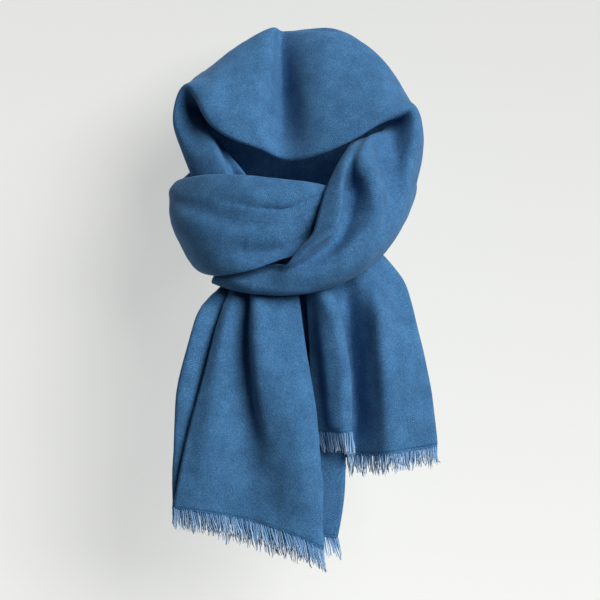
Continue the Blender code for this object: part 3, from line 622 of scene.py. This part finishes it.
def yarnTree(build):
    tree = bpy.data.node_groups.new("hangYarns", "GeometryNodeTree")
    face = tree.interface
    face.new_socket("Geometry", in_out="INPUT", socket_type="NodeSocketGeometry")
    for name in ("spacing", "length", "lengthSpread", "sway", "curl", "tuft", "yarnRadius"):
        face.new_socket(name, in_out="INPUT", socket_type="NodeSocketFloat")
    face.new_socket("seed", in_out="INPUT", socket_type="NodeSocketInt")
    face.new_socket("finish", in_out="INPUT", socket_type="NodeSocketMaterial")
    face.new_socket("Geometry", in_out="OUTPUT", socket_type="NodeSocketGeometry")
    given = addNode(tree, "NodeGroupInput").outputs

    # roots along the hem line, each a little off it to either side
    hem = addNode(tree, "GeometryNodeMeshToCurve", {"Mesh": given["Geometry"]})
    roots = addNode(
        tree, "GeometryNodeResampleCurve", {"Curve": hem, "Length": given["spacing"]}, mode="LENGTH"
    )
    fall = addNode(tree, "GeometryNodeInputNamedAttribute", {"Name": "fall"}, data_type="FLOAT_VECTOR")
    reach = addNode(tree, "GeometryNodeInputNamedAttribute", {"Name": "reach"}, data_type="FLOAT")
    index = addNode(tree, "GeometryNodeInputIndex").outputs["Index"]
    low, high = (tuple(side * mm for side in corner) for corner in build["scatterMm"])
    scatterSeed = addNode(
        tree, "FunctionNodeIntegerMath", {0: given["seed"], 1: build["scatterSeed"]}, operation="ADD"
    )
    within = {"Min": low, "Max": high, "ID": index, "Seed": scatterSeed}
    jitter = addNode(tree, "FunctionNodeRandomValue", within, data_type="FLOAT_VECTOR")
    spread = addNode(tree, "GeometryNodeSetPosition", {"Geometry": roots, "Offset": jitter})

    # one straight yarn a root, of its own length, turned the way the cloth falls there
    straight = addNode(tree, "GeometryNodeCurvePrimitiveLine", {"Start": (0, 0, 0), "End": (0, 0, 1)})
    yarn = addNode(tree, "GeometryNodeResampleCurve", {"Curve": straight, "Count": build["points"]})
    turn = addNode(tree, "FunctionNodeAlignRotationToVector", {"Vector": fall}, axis="Z")
    longest = addNode(tree, "ShaderNodeMath", {0: given["length"], 1: reach}, operation="MULTIPLY")
    least = addNode(tree, "ShaderNodeMath", {0: 1.0, 1: given["lengthSpread"]}, operation="SUBTRACT")
    between = {2: least, 3: 1.0, "ID": index, "Seed": given["seed"]}
    share = addNode(tree, "FunctionNodeRandomValue", between, data_type="FLOAT")
    size = addNode(tree, "ShaderNodeMath", {0: longest, 1: share.outputs[1]}, operation="MULTIPLY")
    scale = addNode(tree, "ShaderNodeCombineXYZ", {axis: size for axis in "XYZ"})
    placed = {"Points": spread, "Instance": yarn, "Rotation": turn, "Scale": scale}
    hung = addNode(tree, "GeometryNodeInstanceOnPoints", placed)

    # each yarn keeps its root's place and a chance number of its own
    here = addNode(tree, "GeometryNodeInputPosition").outputs["Position"]
    keepRoot = addNode(
        tree,
        "GeometryNodeStoreNamedAttribute",
        {"Geometry": hung, "Name": "rootPlace", "Value": here},
        data_type="FLOAT_VECTOR",
        domain="INSTANCE",
    )
    toneSeed = addNode(
        tree, "FunctionNodeIntegerMath", {0: given["seed"], 1: build["toneSeed"]}, operation="ADD"
    )
    chance = addNode(tree, "FunctionNodeRandomValue", {"ID": index, "Seed": toneSeed}, data_type="FLOAT")
    keepChance = addNode(
        tree,
        "GeometryNodeStoreNamedAttribute",
        {"Geometry": keepRoot, "Name": "yarnChance", "Value": chance.outputs[1]},
        data_type="FLOAT",
        domain="INSTANCE",
    )
    real = addNode(tree, "GeometryNodeRealizeInstances", {"Geometry": keepChance})

    # neighbours lean and tuft together, because that noise is read at the root, and each yarn curls by itself
    root = addNode(tree, "GeometryNodeInputNamedAttribute", {"Name": "rootPlace"}, data_type="FLOAT_VECTOR")
    along = addNode(tree, "GeometryNodeSplineParameter").outputs["Factor"]
    bend = addNode(tree, "ShaderNodeMath", {0: along, 1: build["bendPower"]}, operation="POWER")
    half = (0.5, 0.5, 0.5)
    pulls = []
    for place, noiseScale, detail, strength in (
        (root, build["leanScale"], 1.0, given["sway"]),
        (root, build["tuftScale"], 0.0, given["tuft"]),
        (here, build["curlScale"], 0.0, given["curl"]),
    ):
        reading = {"Vector": place, "W": given["seed"], "Scale": noiseScale, "Detail": detail}
        noise = addNode(tree, "ShaderNodeTexNoise", reading, noise_dimensions="4D").outputs["Color"]
        centred = addNode(tree, "ShaderNodeVectorMath", {0: noise, 1: half}, operation="SUBTRACT")
        pull = {0: centred, "Scale": strength}
        pulls.append(addNode(tree, "ShaderNodeVectorMath", pull, operation="SCALE"))
    both = addNode(tree, "ShaderNodeVectorMath", {0: pulls[0], 1: pulls[1]}, operation="ADD")
    whole = addNode(tree, "ShaderNodeVectorMath", {0: both, 1: pulls[2]}, operation="ADD")
    offset = addNode(tree, "ShaderNodeVectorMath", {0: whole, "Scale": bend}, operation="SCALE")
    bent = addNode(tree, "GeometryNodeSetPosition", {"Geometry": real, "Offset": offset})

    # painted light paler towards the tip, a tone that differs at random from yarn to yarn, and thinner
    # towards the tip
    chanceRead = addNode(tree, "GeometryNodeInputNamedAttribute", {"Name": "yarnChance"}, data_type="FLOAT")
    mixed = addNode(tree, "ShaderNodeMath", {0: chanceRead, 1: along}, operation="ADD")
    halved = addNode(tree, "ShaderNodeMath", {0: mixed, 1: 0.5}, operation="MULTIPLY")
    toned = addNode(
        tree,
        "GeometryNodeStoreNamedAttribute",
        {"Geometry": bent, "Name": "yarnToneAndPaintedLight", "Value": halved},
        data_type="FLOAT",
        domain="POINT",
    )
    thinning = {"Value": along, "To Min": 1.0, "To Max": build["tipThickness"]}
    thin = addNode(tree, "ShaderNodeMapRange", thinning)
    radius = addNode(tree, "ShaderNodeMath", {0: thin, 1: given["yarnRadius"]}, operation="MULTIPLY")
    ring = addNode(tree, "GeometryNodeCurvePrimitiveCircle", {"Resolution": build["sides"], "Radius": 1.0})
    swept = {"Curve": toned, "Profile Curve": ring, "Scale": radius, "Fill Caps": True}
    tube = addNode(tree, "GeometryNodeCurveToMesh", swept)
    plain = addNode(tree, "GeometryNodeRealizeInstances", {"Geometry": tube})
    dressed = addNode(tree, "GeometryNodeSetMaterial", {"Geometry": plain, "Material": given["finish"]})
    addNode(tree, "NodeGroupOutput", {"Geometry": dressed})
    return tree


hangYarns = yarnTree(yarnBuild)


def plainMesh(obj, tree, values):
    # gives the modifier its inputs, turns the result into a plain mesh, and drops the modifier
    modifier = obj.modifiers.new("nodes", "NODES")
    modifier.node_group = tree
    for item in tree.interface.items_tree:
        if item.in_out == "INPUT" and item.name in values:
            modifier[item.identifier] = values[item.name]
    obj.update_tag()
    graph = bpy.context.evaluated_depsgraph_get()
    mesh = bpy.data.meshes.new_from_object(obj.evaluated_get(graph))
    obj.modifiers.clear()
    old = obj.data
    obj.data = mesh
    bpy.data.meshes.remove(old)
    mesh.name = obj.name


yarnRoots = {
    "readOver": 6,  # rows above the hem over which the cloth's own fall is read
    "insideMm": 0.8,  # the yarns start this far up inside the cloth
}


def hangFringe(fringe, grid, columnCount):
    columns = np.linspace(0, columnCount - 1, grid.shape[1])
    chosen = (columns >= fringe["from"]) & (columns <= fringe["to"])
    hem = grid[-1, chosen]
    down = hem - grid[-1 - yarnRoots["readOver"], chosen]
    down /= np.linalg.norm(down, axis=1, keepdims=True)
    fall = (1 - fringe["plumb"]) * down + fringe["plumb"] * np.array([0, 0, -1.0])
    share = np.linspace(0, 1, len(hem))
    fall[:, 0] += np.interp(share, [0, 0.5, 1], fringe["lean"])
    fall /= np.linalg.norm(fall, axis=1, keepdims=True)
    reach = np.interp(share, np.linspace(0, 1, len(fringe["reach"])), fringe["reach"])
    mesh = bpy.data.meshes.new(fringe["name"])
    steps = [(i, i + 1) for i in range(len(hem) - 1)]
    mesh.from_pydata(inFrame(hem - down * yarnRoots["insideMm"]), steps, [])
    for name, kind, field, numbers in (
        ("fall", "FLOAT_VECTOR", "vector", fall.ravel()),
        ("reach", "FLOAT", "value", reach),
    ):
        mesh.attributes.new(name, kind, "POINT").data.foreach_set(field, numbers.astype(np.float32))
    obj = intoScene(fringe["name"], mesh)
    values = {
        "spacing": fringe["spacingMm"] * mm,
        "length": mm,  # times each root's reach, which is in millimetres
        "lengthSpread": fringe["lengthSpread"],
        "sway": fringe["swayMm"] * mm,
        "curl": fringe["curlMm"] * mm,
        "tuft": fringe["tuftMm"] * mm,
        "yarnRadius": fringe["yarnMm"] / 2 * mm,
        "seed": fringe["seed"],
        "finish": yarnFinish,
    }
    plainMesh(obj, hangYarns, values)
    return obj


# the pieces

swagCloth = {
    "name": "swagAndSweep",
    "rowsPerStep": 12,
    "columnsPerStep": 8,
    "relaxRounds": 6,
    "hemAtEnd": False,
    "waves": [
        {"acrossMm": 60, "alongMm": 90, "heightMm": 0.9, "seed": 5},
        {"acrossMm": 18, "alongMm": 40, "heightMm": 0.25, "seed": 6},
    ],
    "folds": [
        {"path": [(15.2, 2.1), (16.0, 2.15), (17.0, 2.3), (18.0, 2.3), (18.9, 2.3)], "width": 8, "height": 7},
        {"path": [(14.8, 2.8), (15.8, 2.8), (16.8, 2.9), (17.6, 3.0), (18.4, 3.0)], "width": 9, "height": -8},
        {"path": [(14.3, 3.6), (15.1, 3.65), (16, 3.7), (17, 3.7), (17.8, 3.6)], "width": 11, "height": 8},
        {"path": [(9.9, 5.4), (10.0, 5.9), (9.9, 6.5)], "width": 26, "height": -3.5},
    ],
    "nodes": [
        "left_rise", "hood_left", "hood_middle", "hood_right",
        "right_sweep_upper", "right_sweep_lower", "under_band",
    ],
}
cowlCloth = {
    "name": "cowlAndWrap",
    "rowsPerStep": 18,
    "columnsPerStep": 12,
    "relaxRounds": 8,
    "hemAtEnd": False,
    "waves": [
        {"acrossMm": 50, "alongMm": 90, "heightMm": 0.8, "seed": 15},
        {"acrossMm": 18, "alongMm": 40, "heightMm": 0.25, "seed": 16},
    ],
    "folds": [
        {"path": [(0.2, 1.7), (1.1, 2.0), (2.0, 2.15), (2.9, 2.1), (4.2, 1.8)], "width": 6, "height": 6},
        {"path": [(0.2, 2.7), (1.1, 3.0), (2.0, 3.1), (3.1, 3.0), (4.4, 2.7)], "width": 9, "height": -6},
        {"path": [(0.2, 4.7), (1.4, 5.0), (2.6, 5.1), (4.2, 4.9)], "width": 15, "height": 11},
    ],
    "nodes": [
        "cowl_right", "cowl_left", "left_round",
        "back_wrap_left", "back_wrap_middle", "back_wrap_right", "right_fall",
    ],
}
leftEndCloth = {
    "name": "leftEnd",
    "rowsPerStep": 30,
    "columnsPerStep": 8,
    "relaxRounds": 8,
    "hemAtEnd": True,
    "waves": [
        {"acrossMm": 40, "alongMm": 120, "heightMm": 0.8, "seed": 25},
        {"acrossMm": 14, "alongMm": 40, "heightMm": 0.25, "seed": 26},
    ],
    "folds": [
        {"path": [(3.4, 4.0), (4.6, 4.2), (5.6, 4.3), (6.7, 4.4)], "width": 24, "height": -9},
    ],
    "nodes": ["tail_left"],
}
rightEndCloth = {
    "name": "rightEnd",
    "rowsPerStep": 30,
    "columnsPerStep": 9,
    "relaxRounds": 8,
    "hemAtEnd": True,
    "waves": [
        {"acrossMm": 40, "alongMm": 120, "heightMm": 0.8, "seed": 35},
        {"acrossMm": 14, "alongMm": 40, "heightMm": 0.25, "seed": 36},
    ],
    "folds": [
        {"path": [(1.2, 1.3), (3.0, 1.35), (4.4, 1.35), (5.6, 1.3)], "width": 10, "height": -5},
        {"path": [(2.0, 7.9), (3.5, 8.0), (5.5, 8.1)], "width": 12, "height": -4},
    ],
    "nodes": ["tail_right"],
}

# Yarns hang between two columns of an end. reach is their length along it, plumb how far they fall straight
# down rather than with the cloth, and lean how far they fall to the right for each unit down, at the first
# column, the middle and the last.
frayedEnds = [
    {
        "name": "frayLeftFront", "node": "fringe_left_front", "end": "leftEnd", "from": 0.0, "to": 5.6,
        "spacingMm": 1.15, "yarnMm": 1.5, "reach": [26, 25, 26, 28, 30], "lengthSpread": 0.22, "plumb": 0.4,
        "lean": [0.22, 0.30, 0.12], "swayMm": 14, "curlMm": 7, "tuftMm": 6, "seed": 3,
    },
    {
        "name": "frayLeftMiddle", "node": "fringe_left_middle", "end": "leftEnd", "from": 5.6, "to": 9.4,
        "spacingMm": 1.4, "yarnMm": 1.3, "reach": [27, 24], "lengthSpread": 0.3, "plumb": 0.5,
        "lean": [0.1, 0.1, 0.1], "swayMm": 12, "curlMm": 6, "tuftMm": 5, "seed": 5,
    },
    {
        "name": "frayLeftBack", "node": "fringe_left_back", "end": "leftEnd", "from": 9.4, "to": 13.0,
        "spacingMm": 1.2, "yarnMm": 1.4, "reach": [24, 26, 28], "lengthSpread": 0.25, "plumb": 0.5,
        "lean": [0.0, 0.1, 0.35], "swayMm": 14, "curlMm": 7, "tuftMm": 6, "seed": 7,
    },
    {
        "name": "frayRightRoll", "node": "fringe_right_roll", "end": "rightEnd", "from": 0.0, "to": 3.6,
        "spacingMm": 1.15, "yarnMm": 1.4, "reach": [26, 27], "lengthSpread": 0.22, "plumb": 0.6,
        "lean": [0.15, 0.05, 0.0], "swayMm": 10, "curlMm": 6, "tuftMm": 5, "seed": 11,
    },
    {
        "name": "frayRightPanel", "node": "fringe_right_panel", "end": "rightEnd", "from": 3.6, "to": 9.5,
        "spacingMm": 1.15, "yarnMm": 1.4, "reach": [22, 24, 25], "lengthSpread": 0.3, "plumb": 0.5,
        "lean": [0.1, 0.0, 0.15], "swayMm": 16, "curlMm": 8, "tuftMm": 7, "seed": 13,
    },
    {
        "name": "frayRightBack", "node": "fringe_right_back", "end": "rightEnd", "from": 9.5, "to": 12.0,
        "spacingMm": 1.3, "yarnMm": 1.3, "reach": [25, 24], "lengthSpread": 0.3, "plumb": 0.5,
        "lean": [0.0, 0.0, 0.0], "swayMm": 12, "curlMm": 6, "tuftMm": 6, "seed": 17,
    },
]

grids = {}
for cloth, table in (
    (swagCloth, swagTable),
    (cowlCloth, cowlTable),
    (leftEndCloth, leftEndTable),
    (rightEndCloth, rightEndTable),
):
    obj, grid, u, v = makeShell(cloth, table)
    obj.data.materials.append(clothFinish)
    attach(obj, "root")
    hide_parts(*cloth["nodes"])
    grids[cloth["name"]] = (grid, len(table[0]))
    triangles = len(obj.data.polygons) * 2
    width, length = round(np.ptp(u, axis=1).mean()), round(v.max(axis=0).mean())
    print(cloth["name"], triangles, "triangles, about", width, "by", length, "mm of cloth")

for fringe in frayedEnds:
    obj = hangFringe(fringe, *grids[fringe["end"]])
    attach(obj, "root")
    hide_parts(fringe["node"])
    print(fringe["name"], len(obj.data.polygons), "faces")

print("cloth and fringe in place")


# room, light and camera: a pale wall close behind, and soft daylight from the upper right

room = {
    "wall": "#989894",
    "floor": "#C8C8C4",
    "glow": "#F0F1EF",  # painted light: the wall glows in place of daylight already in the room, so that the scarf's shadow on the wall stays pale
    "glowStrength": (0.70, 0.55),  # low on the wall, high on the wall
    "glowHeights": (-0.5, 0.22),
    "wallStarts": (-0.9, -0.6),  # heights between which the floor's paint gives way to the wall's
    "roughness": 0.95,
    "specular": 0.1,
    "wallBehind": 0.070,  # from the nape to the wall
    "wallTop": 2.2,
    "halfWidth": 3.0,
    "floorDrop": 2.1,
    "floorFront": -1.6,
    "coveRadius": 0.35,
    "coveSteps": 12,
    "keyStrength": 4.1,
    "keyFrom": (0.60, -0.66, 0.45),  # the way to the light
    "keyWidthDegrees": 45,
    "sky": "#DCE6F2",
    "skyStrength": 0.045,
    "skySeen": 0.8,  # its strength to the camera alone
}


def makeWallMesh():
    wallY, floorZ, cove = room["wallBehind"], -room["floorDrop"], room["coveRadius"]
    profile = [(room["floorFront"], floorZ)]
    for k in range(room["coveSteps"] + 1):
        turn = math.radians(90 * k / room["coveSteps"])
        profile.append((wallY - cove + cove * math.sin(turn), floorZ + cove - cove * math.cos(turn)))
    profile.append((wallY, room["wallTop"]))
    points = [(x, y, z) for y, z in profile for x in (-room["halfWidth"], room["halfWidth"])]
    faces = [(2 * i, 2 * i + 1, 2 * i + 3, 2 * i + 2) for i in range(len(profile) - 1)]
    mesh = bpy.data.meshes.new("paleWallAndFloor")
    mesh.from_pydata(points, [], faces)
    mesh.shade_smooth()
    return mesh


def mattPaintAndPaintedGlow():
    # flat wall paint that also glows: a painted light standing in for the room's own daylight, stronger low
    # on the wall than high, and none on the floor
    material, tree, shader = newMaterial("mattPaintAndPaintedGlow")
    place = addNode(tree, "ShaderNodeTexCoord")
    height = addNode(tree, "ShaderNodeSeparateXYZ", {"Vector": place.outputs["Object"]}).outputs["Z"]
    low, high = room["glowStrength"]
    bottom, top = room["glowHeights"]
    climbing = {"Value": height, "From Min": bottom, "From Max": top, "To Min": low, "To Max": high}
    climb = addNode(tree, "ShaderNodeMapRange", climbing)
    bottom, top = room["wallStarts"]
    onWall = addNode(tree, "ShaderNodeMapRange", {"Value": height, "From Min": bottom, "From Max": top})
    # painted light: the glow, graded by height and kept to the wall
    glow = addNode(tree, "ShaderNodeMath", {0: climb, 1: onWall}, operation="MULTIPLY")
    mixing = {0: onWall, 6: toLinear(room["floor"]), 7: toLinear(room["wall"])}
    paint = addNode(tree, "ShaderNodeMix", mixing, data_type="RGBA")
    given = {
        "Base Color": paint.outputs[2],
        "Roughness": room["roughness"],
        "Specular IOR Level": room["specular"],
        "Emission Color": toLinear(room["glow"]),
        "Emission Strength": glow,
    }
    fillInputs(tree, shader, given)
    # clear from behind, so that the back of the scarf can be looked at
    side = addNode(tree, "ShaderNodeNewGeometry").outputs["Backfacing"]
    clear = addNode(tree, "ShaderNodeBsdfTransparent").outputs["BSDF"]
    oneWay = addNode(tree, "ShaderNodeMixShader", {0: side, 1: shader.outputs["BSDF"], 2: clear})
    fillInputs(tree, tree.nodes["Material Output"], {"Surface": oneWay})
    return material


backdrop = intoScene("paleWallAndFloor", makeWallMesh())
backdrop.data.materials.append(mattPaintAndPaintedGlow())

lamp = bpy.data.lights.new("softDaylight", "SUN")
lamp.energy = room["keyStrength"]
lamp.angle = math.radians(room["keyWidthDegrees"])
x, y, z = room["keyFrom"]
turn = (math.atan2(math.hypot(x, y), z), 0, math.atan2(x, -y))
intoScene("softDaylight", lamp).rotation_euler = turn

# the room is pale to look at, and gives the folds only a little light of its own
world = bpy.data.worlds.new("paleRoom")
world.use_nodes = True
sky = world.node_tree.nodes["Background"]
looking = addNode(world.node_tree, "ShaderNodeLightPath").outputs["Is Camera Ray"]
shining = {"Value": looking, "To Min": room["skyStrength"], "To Max": room["skySeen"]}
strength = addNode(world.node_tree, "ShaderNodeMapRange", shining)
fillInputs(world.node_tree, sky, {"Color": toLinear(room["sky"]), "Strength": strength})
bpy.context.scene.world = world
bpy.context.scene.view_settings.view_transform = "Standard"

view = {
    "centre": (0.0048, -0.0695, -0.138),
    "distance": 3.2,
    "across": 0.72,  # width of the frame at the scarf
    "sensorMm": 36,
}
camera = intoScene("camera", bpy.data.cameras.new("camera"))
camera.data.sensor_width = view["sensorMm"]
camera.data.lens = view["sensorMm"] * view["distance"] / view["across"]
x, y, z = view["centre"]
camera.location = (x, y - view["distance"], z)
camera.rotation_euler = (math.pi / 2, 0, 0)
bpy.context.scene.camera = camera
print("room lit")
